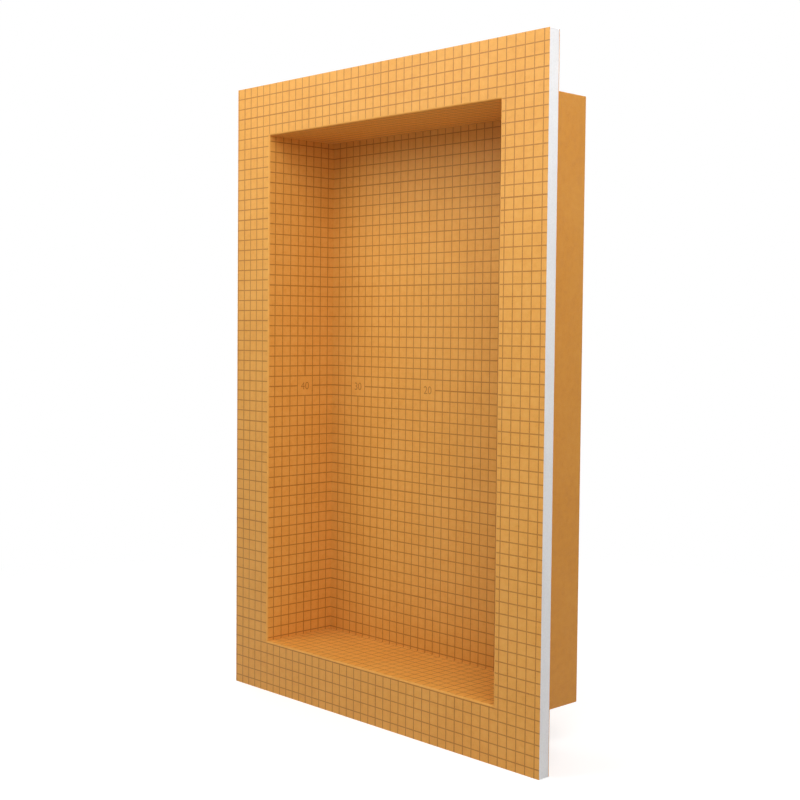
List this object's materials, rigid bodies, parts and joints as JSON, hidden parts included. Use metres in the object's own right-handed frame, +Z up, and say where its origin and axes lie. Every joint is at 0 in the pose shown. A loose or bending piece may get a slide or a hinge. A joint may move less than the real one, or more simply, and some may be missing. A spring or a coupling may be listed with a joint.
{
  "type": "shower niche insert",
  "caption": "Recessed shower niche of fleece-faced foam board: an open-front folded tray glued into a flat flange, fixed between wall studs and tiled over.",
  "frame": {"origin": "centre of the opening on the flange's rear face, which lies against the wall framing", "axes": "+X to the right seen from the front, +Y into the wall, +Z up"},
  "size_m": [0.4064, 0.0984, 0.6096],
  "materials": {
    "printed_fleece": "orange non-woven fleece printed with a fine brown centimetre grid",
    "foam": "cut edge of white extruded polystyrene foam with fine closed cells",
    "plain_fleece": "orange non-woven fleece, plain",
    "box_fleece": "orange non-woven fleece, printed with a brown centimetre grid inside and plain outside"
  },
  "bodies": {
    "root": {"flange_front_facing": "printed_fleece", "flange_core": "foam", "flange_rear_facing": "plain_fleece", "niche_box": "box_fleece"}
  },
  "joints": []
}
